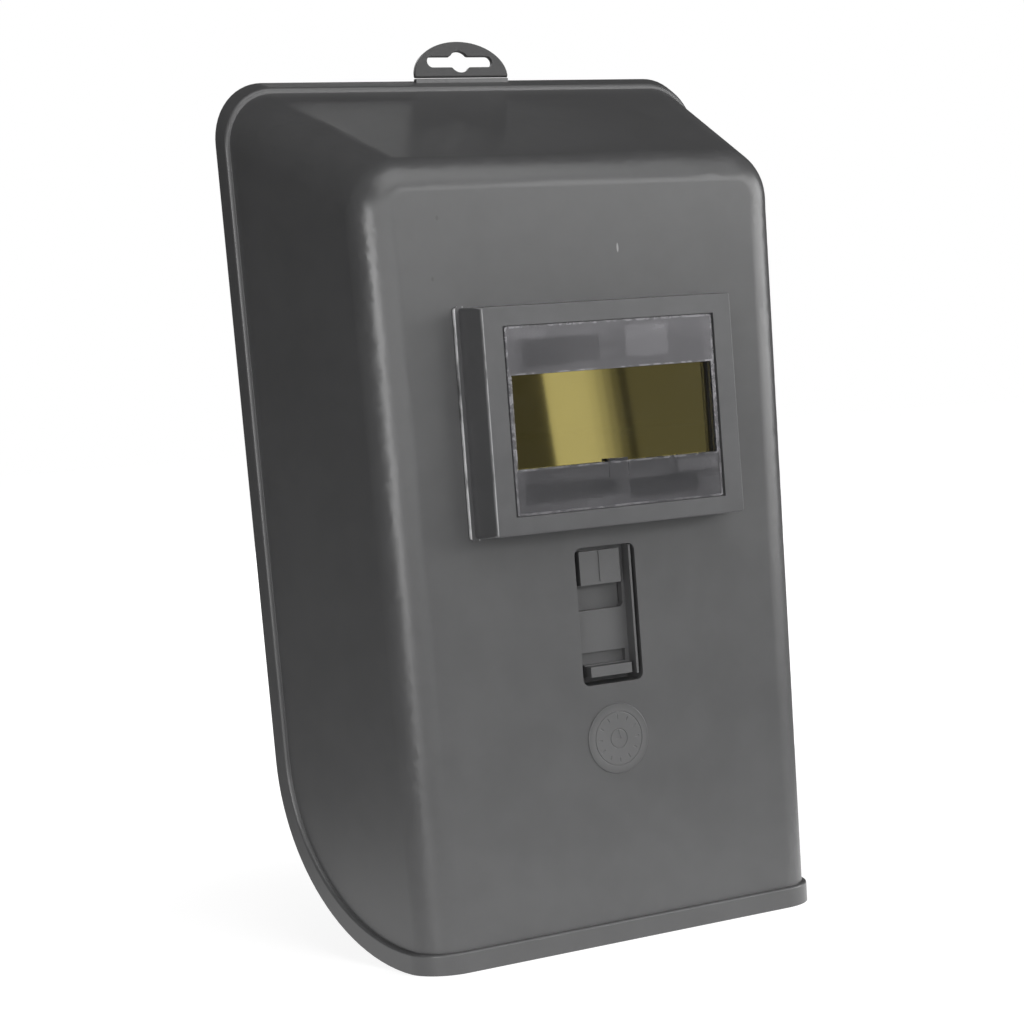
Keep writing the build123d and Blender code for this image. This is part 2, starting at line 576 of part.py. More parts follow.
def side_view(inset=0.0):
    """Outline of the grip seen from the side, moved in by an inset."""

    def spot(depth, up):
        return (FACE_Y + depth, WIN_Z + up)

    under = spot(FOOT_BACK, -108.5)
    groove_low = GROOVE_TOP - GROOVES * GROOVE_STEP
    with BuildSketch(Plane.YZ, mode=Mode.PRIVATE) as view:
        with BuildLine():
            Polyline(
                under,
                spot(FOOT_BACK, -58),
                spot(GRIP_BACK + 1, -66),
                spot(GRIP_BACK - 2, GRIP_LOW),
                spot(GRIP_FRONT, GRIP_LOW),
                spot(GRIP_FRONT, groove_low),
            )
            for groove in range(GROOVES, 0, -1):
                low = GROOVE_TOP - groove * GROOVE_STEP
                sunk = spot(GRIP_FRONT + GROOVE_SINK, low + GROOVE_STEP / 2)
                ThreePointArc(spot(GRIP_FRONT, low), sunk, spot(GRIP_FRONT, low + GROOVE_STEP))
            Polyline(spot(GRIP_FRONT, GROOVE_TOP), spot(GRIP_FRONT, -110), under)
        make_face()
        # in this sketch X is depth and Y is height
        corners = view.vertices()
        fillet(corners.filter_by(lambda p: p.Y > WIN_Z - 70 and p.X > FACE_Y + FOOT_BACK + 1), 20)
        fillet(view.vertices().filter_by(lambda p: p.Y < WIN_Z + GRIP_LOW + 1), 12.5)
        front = view.vertices().filter_by(lambda p: abs(p.X - FACE_Y - GRIP_FRONT) < 0.01)
        cusps = front.filter_by(lambda p: WIN_Z + groove_low - 1 < p.Y < WIN_Z + GROOVE_TOP + 1)
        fillet(cusps, GRIP_ROUND + 1)
        fillet(view.vertices().filter_by(lambda p: abs(p.Y - WIN_Z + 110) < 0.01), 6)
        if inset:
            offset(amount=-inset, kind=Kind.INTERSECTION)
    return view.sketch


outline = side_view()
hollow = side_view(GRIP_WALL)


def grip_half(side):
    """One moulded half of the grip, closed outward, with a boss for each bolt."""
    with BuildPart() as half:
        extrude(outline, side * GRIP_HALF, dir=(1, 0, 0))
        outer = half.faces().sort_by(Axis.X)[-1 if side > 0 else 0]
        fillet(outer.edges().sort_by(Axis.Y)[1:], GRIP_ROUND)
        extrude(hollow, side * (GRIP_HALF - GRIP_WALL), dir=(1, 0, 0), mode=Mode.SUBTRACT)
        block(sorted((0, side * TENON_HALF)), (FOOT_BACK - 1, FOOT_BACK + GRIP_WALL + 1), (TENON_LOW, TENON_TOP),
              Mode.SUBTRACT)
        for depth, up in GRIP_BOLTS:
            start = 0 if up < GROOVE_TOP else side * TENON_HALF
            cross_rod(depth, up, sorted((start, side * (GRIP_HALF - 1))), BOLT_BOSS_R)
        for depth, up in GRIP_BOLTS:
            cross_rod(depth, up, sorted((0, side * GRIP_HALF)), BOLT_R, Mode.SUBTRACT)
            if side < 0:
                pocket = (-GRIP_HALF, -GRIP_HALF + BOLT_HEAD_SINK)
                cross_rod(depth, up, pocket, BOLT_POCKET_R, Mode.SUBTRACT)
            else:
                with BuildSketch(Plane.YZ.offset(GRIP_HALF - NUT_SINK)):
                    with Locations((FACE_Y + depth, WIN_Z + up)):
                        RegularPolygon(NUT_R, 6, major_radius=False)
                extrude(amount=NUT_SINK, mode=Mode.SUBTRACT)
    return half


grip_left = grip_half(-1)
save(grip_left, "grip_left")
grip_right = grip_half(1)
save(grip_right, "grip_right")

with BuildPart() as grip_bolts:
    for depth, up in GRIP_BOLTS:
        seat = -GRIP_HALF + BOLT_HEAD_SINK
        cross_rod(depth, up, (seat, GRIP_HALF - 0.6), BOLT_R)
        cross_rod(depth, up, (-GRIP_HALF + 0.3, seat), BOLT_HEAD_R)
        with BuildSketch(Plane.YZ.offset(seat - 1)):
            with Locations((FACE_Y + depth, WIN_Z + up)):
                RegularPolygon(KEY_R, 6, major_radius=False)
        extrude(amount=-2, mode=Mode.SUBTRACT)
save(grip_bolts, "grip_bolts")

with BuildPart() as grip_nuts:
    for depth, up in GRIP_BOLTS:
        with BuildSketch(Plane.YZ.offset(GRIP_HALF - NUT_SINK)):
            with Locations((FACE_Y + depth, WIN_Z + up)):
                RegularPolygon(NUT_R, 6, major_radius=False)
                Circle(BOLT_R, mode=Mode.SUBTRACT)
        extrude(amount=NUT_T)
save(grip_nuts, "grip_nuts")
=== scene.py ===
"""Looks of a hand-held welding shield: moulded plastic, glazing, fittings, and a plain studio."""
import json
from math import cos, pi, radians, sin

import bmesh
import bpy
from mathutils import Matrix, Vector

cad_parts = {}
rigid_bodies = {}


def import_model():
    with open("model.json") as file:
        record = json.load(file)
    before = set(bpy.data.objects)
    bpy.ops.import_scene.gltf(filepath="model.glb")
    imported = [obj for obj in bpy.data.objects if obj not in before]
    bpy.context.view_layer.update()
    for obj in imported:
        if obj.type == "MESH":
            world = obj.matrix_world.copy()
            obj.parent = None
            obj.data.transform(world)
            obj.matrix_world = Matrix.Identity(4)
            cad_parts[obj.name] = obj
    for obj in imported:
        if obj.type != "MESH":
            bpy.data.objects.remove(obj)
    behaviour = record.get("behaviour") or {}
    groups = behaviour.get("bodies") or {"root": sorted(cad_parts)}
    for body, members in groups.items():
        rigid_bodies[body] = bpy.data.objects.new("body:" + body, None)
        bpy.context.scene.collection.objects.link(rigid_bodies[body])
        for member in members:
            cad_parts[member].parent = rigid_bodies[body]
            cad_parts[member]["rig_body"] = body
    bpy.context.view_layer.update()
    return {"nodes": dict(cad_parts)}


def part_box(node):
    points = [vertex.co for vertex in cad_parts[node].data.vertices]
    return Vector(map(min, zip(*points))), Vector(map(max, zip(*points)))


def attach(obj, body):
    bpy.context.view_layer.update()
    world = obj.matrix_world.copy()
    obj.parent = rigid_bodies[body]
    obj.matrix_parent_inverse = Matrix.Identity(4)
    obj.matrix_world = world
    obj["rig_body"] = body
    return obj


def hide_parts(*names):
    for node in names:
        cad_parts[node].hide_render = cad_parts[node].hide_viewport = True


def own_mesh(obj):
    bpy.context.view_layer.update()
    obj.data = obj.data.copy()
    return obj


bl_info = {
    "name": "Welding Shield Looks",
    "version": (1, 0, 0),
    "blender": (4, 5, 0),
    "location": "View3D > Sidebar > Shield",
    "description": "Finishes the pieces of a hand-held welding shield and sets up a studio for it",
    "category": "Object",
}

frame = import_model()
MM = 0.001

HOUSING_LOW, HOUSING_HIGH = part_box("window_housing")
WINDOW = (HOUSING_LOW + HOUSING_HIGH) / 2
SPIGOT_DEPTH = 2.5 * MM  # the housing's spigot reaches this far behind the front of the face
FACE_Y = HOUSING_HIGH.y - SPIGOT_DEPTH


# ------------------------------------------------------------------ shader maths
# the Mix node has sockets for every kind of value; these are the places of its colour sockets
MIX_FIRST, MIX_SECOND, MIX_RESULT = 6, 7, 2


class Wire:
    """A shader socket that can be added, multiplied and compared like a number."""

    def __init__(self, tree, socket):
        self.tree = tree
        self.socket = socket

    def _math(self, operation, *others):
        node = self.tree.nodes.new("ShaderNodeMath")
        node.operation = operation
        for place, value in enumerate((self, *others)):
            connect(self.tree, node.inputs[place], value)
        return Wire(self.tree, node.outputs[0])

    def __add__(self, other):
        return self._math("ADD", other)

    def __sub__(self, other):
        return self._math("SUBTRACT", other)

    def __mul__(self, other):
        return self._math("MULTIPLY", other)

    def __truediv__(self, other):
        return self._math("DIVIDE", other)

    def __rsub__(self, other):
        return self * -1 + other

    def __abs__(self):
        return self._math("ABSOLUTE")

    def largest(self, other):
        return self._math("MAXIMUM", other)

    def smallest(self, other):
        return self._math("MINIMUM", other)

    def rise(self, low, high):
        """0 below low, 1 above high, and a smooth step between them. Works downwards too."""
        node = self.tree.nodes.new("ShaderNodeMapRange")
        node.interpolation_type = "SMOOTHSTEP"
        connect(self.tree, node.inputs["Value"], self)
        flip = low > high
        connect(self.tree, node.inputs["From Min"], min(low, high))
        connect(self.tree, node.inputs["From Max"], max(low, high))
        connect(self.tree, node.inputs["To Min"], 1.0 if flip else 0.0)
        connect(self.tree, node.inputs["To Max"], 0.0 if flip else 1.0)
        return Wire(self.tree, node.outputs["Result"])


def connect(tree, socket, value):
    """Link a wire to a socket, or set the socket's own value."""
    if isinstance(value, Wire):
        tree.links.new(value.socket, socket)
    else:
        socket.default_value = value


class Finish:
    """A material with one Principled shader, built up with add and set."""

    def __init__(self, name):
        self.material = bpy.data.materials.new(name)
        self.material.use_nodes = True
        self.tree = self.material.node_tree
        self.shader = self.tree.nodes["Principled BSDF"]
        self.output = self.tree.nodes["Material Output"]
        self.place = self.add("ShaderNodeTexCoord", "Object")

    def add(self, kind, out, settings=None, **values):
        """Any node: its settings first, then its sockets by name; gives the named output."""
        node = self.tree.nodes.new(kind)
        for name, value in (settings or {}).items():
            setattr(node, name, value)
        for name, value in values.items():
            connect(self.tree, node.inputs[name.replace("_", " ")], value)
        return Wire(self.tree, node.outputs[out])

    def axis(self, letter):
        return self.add("ShaderNodeSeparateXYZ", letter, Vector=self.place)

    def noise(self, size, detail=3.0, roughness=0.55, stretch=(1, 1, 1)):
        """Noise whose blobs are about this many metres across."""
        where = self.add("ShaderNodeVectorMath", "Vector", {"operation": "MULTIPLY"})
        node = where.socket.node
        connect(self.tree, node.inputs[0], self.place)
        node.inputs[1].default_value = [1 / (size * s) for s in stretch]
        return self.add(
            "ShaderNodeTexNoise", "Fac", Vector=where, Scale=1.0, Detail=detail, Roughness=roughness
        )

    def mix(self, factor, first, second):
        """Blend of two colours."""
        node = self.tree.nodes.new("ShaderNodeMix")
        node.data_type = "RGBA"
        connect(self.tree, node.inputs["Factor"], factor)
        connect(self.tree, node.inputs[MIX_FIRST], first)
        connect(self.tree, node.inputs[MIX_SECOND], second)
        return Wire(self.tree, node.outputs[MIX_RESULT])

    def bump(self, height, distance):
        return self.add("ShaderNodeBump", "Normal", Height=height, Distance=distance, Strength=1.0)

    def plain(self):
        """The base colour as it stands, to mix more into."""
        return Wire(self.tree, self.shader.inputs["Base Color"].links[0].from_socket)

    def set(self, **values):
        for name, value in values.items():
            connect(self.tree, self.shader.inputs[name.replace("_", " ")], value)
        return self


def shade(colour, amount):
    """The same colour, lighter or darker, as RGBA."""
    return (*[channel * amount for channel in colour], 1.0)


# ------------------------------------------------------------------ materials
BOX_LEFT = -58.8 * MM  # front left edge of the window box
BADGE_Z = WINDOW.z - 134 * MM
BADGE_R = 14.5 * MM
# painted sheen: how much paler the badge is made, standing in for the gloss of its smoother surface
BADGE_PAINTED_SHEEN = 0.064
# small flaws on the face: middle x and z, then half the width and half the height
NICK = (17 * MM, WINDOW.z + 67 * MM, 0.4 * MM, 1.6 * MM)
UPPER_SPECK = (-66 * MM, WINDOW.z + 82 * MM, 0.6 * MM, 0.9 * MM)
LOWER_SPECK = (-70 * MM, WINDOW.z + 58 * MM, 0.5 * MM, 0.8 * MM)
NICK_COLOUR = (0.35, 0.35, 0.35, 1.0)
SPECK_COLOUR = (0.02, 0.02, 0.02, 1.0)
# colour of the painted highlight on the window's left edges
EDGE_HIGHLIGHT_COLOUR = (0.62, 0.62, 0.63, 1.0)
# the sight opening and the cover plate, and how far each sits below the window's middle
SIGHT_HALF_W = 47.25 * MM
SIGHT_HALF_H = 18.6 * MM
SIGHT_DROP = 0.9 * MM
COVER_HALF_W = 49.0 * MM
COVER_HALF_H = 37.5 * MM
POCKET_DROP = 0.35 * MM
# colour of the plate's haze, which shows both real smudges and painted reflections and highlights
HAZE_AND_REFLECTION_COLOUR = (0.235, 0.231, 0.243, 1.0)
GLASS_IOR = 1.50
HEAD_ON_GLOSS = 0.043  # this much of the gloss is left out, so none shows on a sheet seen head on


def moulded(name, colour, grain=0.45 * MM, depth=0.020 * MM, rough=0.46, cloud=0.06, scuffs=0.5):
    """Spark-eroded satin plastic: fine grain, faint cloudiness, light handling scuffs."""
    finish = Finish(name)
    clouds = finish.noise(38 * MM, 4.0) * 0.6 + finish.noise(9 * MM, 3.0) * 0.4
    streak = finish.noise(2.2 * MM, 2.0, stretch=(0.16, 1, 7)).rise(0.70, 0.78)
    streak = streak * finish.noise(30 * MM, 2.0).rise(0.52, 0.70) * scuffs
    tone = clouds.rise(0.30, 0.70)
    plain = finish.mix(tone, shade(colour, 1 - cloud), shade(colour, 1 + cloud))
    finish.set(Base_Color=finish.mix(streak * 0.35, plain, shade(colour, 1.7)))
    finish.set(Roughness=tone * 0.05 + (rough - 0.025) - streak * 0.08)
    fine = finish.noise(grain, 2.0, 0.6)
    finish.set(Normal=finish.bump(fine + clouds * 0.5, depth))
    finish.shader.inputs["Specular IOR Level"].default_value = 0.5
    return finish


def mark(finish, x, z, half_x, half_z, soft=0.4 * MM):
    """Mask of a small upright ellipse on a front surface."""
    across = abs(finish.axis("X") - x) / half_x
    up = abs(finish.axis("Z") - z) / half_z
    reach = across * across + up * up
    return reach.rise(1.0 + soft / min(half_x, half_z), 0.6)


def shell_finish(looks):
    """The shell's plastic, with the badge made slightly paler as a painted sheen, a nick and two dark
    specks on the face.
    """
    finish = moulded("shell_plastic_satin", looks.shell_colour, rough=looks.shell_roughness)
    plain = finish.plain()
    face = finish.axis("Y").rise(FACE_Y + 1.5 * MM, FACE_Y + 0.5 * MM)
    badge = mark(finish, 0, BADGE_Z, BADGE_R, BADGE_R)
    nick = mark(finish, *NICK)
    specks = mark(finish, *UPPER_SPECK) + mark(finish, *LOWER_SPECK)
    # painted sheen: the badge's base colour is lightened for the extra gloss it catches
    sheen_and_nick = finish.mix((badge * BADGE_PAINTED_SHEEN + nick * 0.5) * face, plain, NICK_COLOUR)
    finish.set(Base_Color=finish.mix(specks * face * 0.5, sheen_and_nick, SPECK_COLOUR))
    return finish.material


def window_finish(looks):
    """The window's plastic, with a painted highlight along the flange's left edge and the box's left
    corner.
    """
    colour = looks.window_colour
    finish = moulded("window_plastic_satin", colour, grain=0.6 * MM, rough=0.36, cloud=0.10, scuffs=1.0)
    plain = finish.plain()
    x = finish.axis("X")
    patchy = finish.noise(4 * MM, 3.0, stretch=(1, 1, 3)).rise(0.25, 0.60)
    flange = x.rise(HOUSING_LOW.x + 0.75 * MM, HOUSING_LOW.x + 0.25 * MM)
    corner = x.rise(BOX_LEFT - 0.1 * MM, BOX_LEFT + 0.1 * MM)
    corner = corner * x.rise(BOX_LEFT + 0.6 * MM, BOX_LEFT + 0.3 * MM)
    # painted highlight: the flange's left edge and the box's left corner are made pale in patches for the
    # light they catch
    painted_edge_highlight = (flange * 0.8 + corner * 0.35) * patchy
    finish.set(Base_Color=finish.mix(painted_edge_highlight, plain, EDGE_HIGHLIGHT_COLOUR))
    return finish.material


def grip_finish(looks):
    """The grip's coarser plastic."""
    finish = moulded("grip_plastic_satin", looks.grip_colour, grain=0.7 * MM, depth=0.03 * MM, rough=0.50)
    return finish.material


def filter_finish(looks):
    """Welding filter with a gold-olive mirror coat."""
    finish = Finish("filter_gold_coat")
    drift = finish.noise(60 * MM, 2.0)
    colour = looks.filter_colour
    finish.set(Base_Color=finish.mix(drift, shade(colour, 0.9), shade(colour, 1.1)))
    finish.set(Metallic=1.0, Roughness=finish.noise(4 * MM, 3.0) * 0.01 + 0.022)
    return finish.material


def clear_sheet(finish, haze_and_painted_light, body_colour, tint):
    """Make a finish see-through, glossy by angle, and milky by the haze mask; for the cover plate that
    mask also holds painted reflections and highlights.
    """
    tree = finish.tree
    finish.set(Base_Color=body_colour)
    clear = finish.add("ShaderNodeBsdfTransparent", "BSDF", Color=tint)
    gloss = (finish.add("ShaderNodeFresnel", "Fac", IOR=GLASS_IOR) - HEAD_ON_GLOSS).largest(0.0)
    body = finish.add("ShaderNodeMixShader", "Shader", Fac=(gloss + haze_and_painted_light).smallest(1.0))
    mixer = body.socket.node
    tree.links.new(clear.socket, mixer.inputs[1])
    tree.links.new(finish.shader.outputs[0], mixer.inputs[2])
    tree.links.new(body.socket, finish.output.inputs["Surface"])
    return finish.material


def cover_finish():
    """Clear cover plate: real smudges, painted reflections as milky light and dark patches round the
    opening, and painted highlights as bright broken lines along its edges.
    """
    finish = Finish("cover_plate_clear")
    smear = finish.noise(14 * MM, 5.0, 0.65, stretch=(2.5, 1, 0.8)).rise(0.42, 0.72)
    wobble = (finish.noise(5 * MM, 3.0) - 0.5) * (3 * MM)
    x = finish.axis("X") + wobble
    z = finish.axis("Z") - WINDOW.z + wobble

    def patch(left, right, low, high, soft=1.2):
        """Soft-edged rectangle, millimetres from the window's centre."""
        area = x.rise((left - soft) * MM, (left + soft) * MM)
        area = area * x.rise((right + soft) * MM, (right - soft) * MM)
        area = area * z.rise((low - soft) * MM, (low + soft) * MM)
        return area * z.rise((high + soft) * MM, (high - soft) * MM)

    across = abs(finish.axis("X"))
    height = finish.axis("Z") - WINDOW.z
    outside = (across - SIGHT_HALF_W).largest(abs(height + SIGHT_DROP) - SIGHT_HALF_H)
    inset = (COVER_HALF_W - across).smallest(COVER_HALF_H - abs(height + POCKET_DROP))
    broken = finish.noise(3.5 * MM, 4.0, 0.7).rise(0.40, 0.60)
    round_sight = outside.rise(0.0, 0.15 * MM) * outside.rise(1.1 * MM, 0.5 * MM)
    round_pocket = inset.rise(1.2 * MM, 0.6 * MM)
    # painted reflection: the dark and light patches stand in for the studio mirrored in the plate
    painted_dark_reflection = patch(-42, -6, 21, 32) + patch(4, 37, -35, -27) + patch(-45, -2, -34, -26) * 0.7
    light = patch(7, 27, 22, 35) + patch(-47, -30, 32, 36) * 0.5 + patch(28, 47, -26, -21) * 0.8
    # the haze also grows paler towards the top and the right and near the pocket's edge; the smear adds
    # real smudges
    upper = z.rise(-24 * MM, 24 * MM)
    smear_and_painted_reflection = upper * (x.rise(-40 * MM, 40 * MM) * 0.12 + 0.14) + smear * 0.09 + light * 0.16 + 0.10
    smear_and_painted_reflection = smear_and_painted_reflection + inset.rise(7 * MM, 3 * MM) * 0.07 - painted_dark_reflection * 0.10
    # painted highlight: bright broken lines along the edges of the sight opening and the pocket
    painted_edge_highlights = (round_sight + round_pocket * 0.8) * broken * 0.45
    haze_and_painted_light = (smear_and_painted_reflection.largest(0.0) + painted_edge_highlights) * outside.rise(0.0, 0.2 * MM) + smear * 0.006
    finish.set(Roughness=smear * 0.15 + 0.05)
    return clear_sheet(finish, haze_and_painted_light, HAZE_AND_REFLECTION_COLOUR, (0.95, 0.95, 0.96, 1.0))


def inner_plate_finish():
    """Clear inner plate with a few wiped smudges."""
    finish = Finish("inner_plate_clear")
    smear = finish.noise(14 * MM, 5.0, 0.65, stretch=(2.5, 1, 0.8)).rise(0.45, 0.75)
    finish.set(Roughness=smear * 0.15 + 0.05)
    return clear_sheet(finish, smear * 0.03, (0.16, 0.165, 0.17, 1.0), (0.93, 0.95, 0.94, 1.0))


def rubber_finish():
    """Black foam rubber with fine pores."""
    finish = Finish("black_foam_rubber")
    pores = finish.noise(0.8 * MM, 3.0, 0.7)
    finish.set(Base_Color=finish.mix(pores, (0.006, 0.006, 0.006, 1), (0.022, 0.021, 0.020, 1)))
    finish.set(Roughness=pores * 0.2 + 0.75, Normal=finish.bump(pores, 0.15 * MM))
    return finish.material


def metal_finish(name, colour, rough):
    """Brushed metal."""
    finish = Finish(name)
    brushed = finish.noise(0.5 * MM, 3.0, stretch=(6, 1, 1))
    finish.set(Base_Color=finish.mix(brushed, shade(colour, 0.8), shade(colour, 1.1)), Metallic=1.0)
    finish.set(Roughness=brushed * 0.18 + rough, Normal=finish.bump(brushed, 0.01 * MM))
    return finish.material


# ------------------------------------------------------------------ pieces
RIM_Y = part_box("shell")[1].y
RIM_ARC_R = 81.5 * MM
LIP_WIDTH = 6.9 * MM
SKIRT_H = 8.7 * MM
LIP_ROUND = 1.15 * MM
LIP_NEAR = 0.15 * MM  # a point this close to the lip's corner counts as on it
WELD = 0.002 * MM
FLAT_ANGLE = radians(0.3)
CREASE_ANGLE = radians(40)
TAB_PAINTED_SHADE = 0.42  # the tab's base colour as a share of the shell's; a painted shade, as the tab is moulded in the shell's own plastic


def on_lip_corner(vert):
    """True where a point lies on the surface that the lip starts from, in front of the open edge."""
    y, z = vert.co.y, vert.co.z
    middle_y = RIM_Y - RIM_ARC_R
    if z > RIM_ARC_R:
        return abs(y - (RIM_Y - LIP_WIDTH)) < LIP_NEAR
    if y < middle_y:
        return abs(z - SKIRT_H) < LIP_NEAR
    reach = Vector(((y - middle_y) / (RIM_ARC_R - LIP_WIDTH), (z - RIM_ARC_R) / (RIM_ARC_R - SKIRT_H)))
    return abs(reach.length - 1) * RIM_ARC_R < LIP_NEAR


def round_edges(shape, edges, offset, segments):
    """Bevel these edges of a shape."""
    bmesh.ops.bevel(
        shape, geom=edges, offset=offset, offset_type="OFFSET", segments=segments,
        profile=0.5, affect="EDGES", clamp_overlap=True, material=-1,
    )


def sharp_edges(shape, angle=38):
    """Edges where two faces meet at more than this many degrees."""
    pairs = [e for e in shape.edges if len(e.link_faces) == 2]
    return [e for e in pairs if e.calc_face_angle() > radians(angle)]


def round_lip(shape):
    """Round the lip's front corner, much larger than the other edges."""
    lip = [e for e in sharp_edges(shape, 60) if all(on_lip_corner(v) for v in e.verts)]
    lip = [e for e in lip if e.calc_face_angle_signed() > 0]
    round_edges(shape, lip, LIP_ROUND, 4)


def finished_piece(node, material, edge=0.3 * MM, segments=2, shape_more=None):
    """Clean copy of a CAD node: welded, flat areas merged, sharp edges rounded, smooth shaded."""
    source = frame["nodes"][node]
    shape = bmesh.new()
    shape.from_mesh(source.data)
    bmesh.ops.remove_doubles(shape, verts=shape.verts, dist=WELD)
    bmesh.ops.dissolve_limit(shape, angle_limit=FLAT_ANGLE, verts=shape.verts, edges=shape.edges)
    bmesh.ops.recalc_face_normals(shape, faces=shape.faces)
    if shape_more:
        shape_more(shape)
    if edge:
        round_edges(shape, sharp_edges(shape), edge, segments)
    mesh = bpy.data.meshes.new(f"{node}_finished")
    for face in shape.faces:
        face.smooth = True
    for e in shape.edges:
        if len(e.link_faces) == 2 and e.calc_face_angle() > CREASE_ANGLE:
            e.smooth = False
    shape.to_mesh(mesh)
    shape.free()
    piece = bpy.data.objects.new(f"{node}_finished", mesh)
    bpy.context.scene.collection.objects.link(piece)
    mesh.materials.append(material)
    weigh = piece.modifiers.new("flat_faces_first", "WEIGHTED_NORMAL")
    weigh.keep_sharp = True
    weigh.weight = 80
    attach(piece, source["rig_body"])
    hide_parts(node)
    return piece


class ShieldLooks(bpy.types.PropertyGroup):
    """Sizes and colours that a user would change."""

    shell_colour: bpy.props.FloatVectorProperty(
        name="Shell colour", description="Base colour of the moulded shell", subtype="COLOR",
        default=(0.0535, 0.0535, 0.0545), min=0, max=1,
    )
    window_colour: bpy.props.FloatVectorProperty(
        name="Window frame colour", description="Base colour of the window housing", subtype="COLOR",
        default=(0.054, 0.054, 0.0558), min=0, max=1,
    )
    grip_colour: bpy.props.FloatVectorProperty(
        name="Grip colour", description="Base colour of the grip and its foot", subtype="COLOR",
        default=(0.053, 0.053, 0.0541), min=0, max=1,
    )
    filter_colour: bpy.props.FloatVectorProperty(
        name="Filter colour", description="Mirror colour of the filter's coat", subtype="COLOR",
        default=(0.46, 0.39, 0.13), min=0, max=1,
    )
    shell_roughness: bpy.props.FloatProperty(
        name="Shell roughness", description="Roughness of the shell's satin finish",
        default=0.33, min=0, max=1,
    )
    edge_round: bpy.props.FloatProperty(
        name="Edge round", description="Radius of the small rounds on moulded edges", subtype="DISTANCE",
        unit="LENGTH", default=0.0004, min=0, max=0.002,
    )


class SHIELD_OT_shell(bpy.types.Operator):
    """Finish the moulded shell and its hang tab"""

    bl_idname = "shield.shell"
    bl_label = "Shell and Hang Tab"

    def execute(self, context):
        looks = context.scene.shield_looks
        plastic = shell_finish(looks)
        finished_piece("shell", plastic, edge=looks.edge_round, shape_more=round_lip)
        # painted shade: the tab gets a darker copy of the shell's plastic
        shaded_tab_colour = [TAB_PAINTED_SHADE * c for c in looks.shell_colour]
        thin = moulded("tab_plastic_painted_shade", shaded_tab_colour, rough=0.5)
        finished_piece("hang_tab", thin.material, edge=looks.edge_round)
        return {"FINISHED"}


class SHIELD_OT_window(bpy.types.Operator):
    """Finish the window housing, the frame behind it and the swinging retainer"""

    bl_idname = "shield.window"
    bl_label = "Window Housing and Retainer"

    def execute(self, context):
        looks = context.scene.shield_looks
        plastic = window_finish(looks)
        for node in ("window_housing", "inner_frame", "retainer_frame"):
            finished_piece(node, plastic, edge=looks.edge_round)
        return {"FINISHED"}


class SHIELD_OT_glazing(bpy.types.Operator):
    """Finish the cover plate, the filter, the inner plate, the gasket and the pads"""

    bl_idname = "shield.glazing"
    bl_label = "Glazing"

    def execute(self, context):
        looks = context.scene.shield_looks
        finished_piece("cover_plate", cover_finish(), edge=0.15 * MM)
        finished_piece("inner_plate", inner_plate_finish(), edge=0.2 * MM)
        finished_piece("filter_glass", filter_finish(looks), edge=0.2 * MM)
        foam = rubber_finish()
        finished_piece("lens_gasket", foam, edge=0.1 * MM)
        finished_piece("retainer_pads", foam, edge=0.3 * MM)
        return {"FINISHED"}


class SHIELD_OT_grip(bpy.types.Operator):
    """Finish the grip, its foot in the face and the sprung catch"""

    bl_idname = "shield.grip"
    bl_label = "Grip, Foot and Catch"

    def execute(self, context):
        looks = context.scene.shield_looks
        plastic = grip_finish(looks)
        for node in ("grip_foot", "catch_slider", "grip_left", "grip_right"):
            finished_piece(node, plastic, edge=0.25 * MM)
        return {"FINISHED"}


class SHIELD_OT_fasteners(bpy.types.Operator):
    """Finish the screws, bolts, nuts, pins and the spring"""

    bl_idname = "shield.fasteners"
    bl_label = "Fasteners and Spring"

    def execute(self, context):
        zinc = metal_finish("zinc_plate", (0.62, 0.63, 0.64), 0.26)
        steel = metal_finish("drawn_steel", (0.50, 0.50, 0.50), 0.22)
        for node in ("frame_screws", "foot_screws", "grip_bolts", "grip_nuts"):
            finished_piece(node, zinc, edge=0.12 * MM)
        finished_piece("retainer_pins", steel, edge=0.15 * MM)
        spring = finished_piece("catch_spring", steel, edge=0.1 * MM)
        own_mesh(spring)
        return {"FINISHED"}


# ------------------------------------------------------------------ studio
CAMERA_PLACE = Vector((-0.55410, FACE_Y - 0.90385, WINDOW.z + 0.01763))
CAMERA_YAW = radians(29.534)
CAMERA_PITCH = radians(2.995)
CAMERA_ROLL = radians(-4.304)
CAMERA_LENS = 91.07
FLOOR_RADIUS = 9.0
FLOOR_GLOW = 1.15
WORLD_GLOW = 0.05
LIT_MIDDLE = (0, 0, 0.2)
# the cards that the filter mirrors: the way to them, then places along them from their middle
MIRROR_REACH = Vector((1.050, -1.706, -0.035))
CARD_LEFT = -0.072
CARD_SOFT_FROM = -0.030
CARD_SOFT_TO = 0.026
CARD_STRIPS = 6
CARD_GLOW = 1.0
SIDE_REACH = 0.21
LEFT_GLOW = 0.055
RIGHT_GLOW = 0.15
MIRROR_TALL = 1.0
MIRROR_TILT = radians(5.3)


def aim(obj, place, target, roll=0.0):
    """Put a light or camera at place, looking at target."""
    away = (Vector(place) - Vector(target)).normalized()
    turn = away.to_track_quat("Z", "Y").to_matrix().to_4x4()
    obj.matrix_world = Matrix.Translation(place) @ turn @ Matrix.Rotation(roll, 4, "Z")


def soft_light(name, place, target, width, height, power, roll=0.0):
    """Rectangular light that the camera itself does not see."""
    lamp = bpy.data.lights.new(name, "AREA")
    lamp.shape = "RECTANGLE"
    lamp.size = width
    lamp.size_y = height
    lamp.energy = power
    thing = bpy.data.objects.new(name, lamp)
    bpy.context.scene.collection.objects.link(thing)
    aim(thing, place, target, roll)
    thing.visible_camera = False


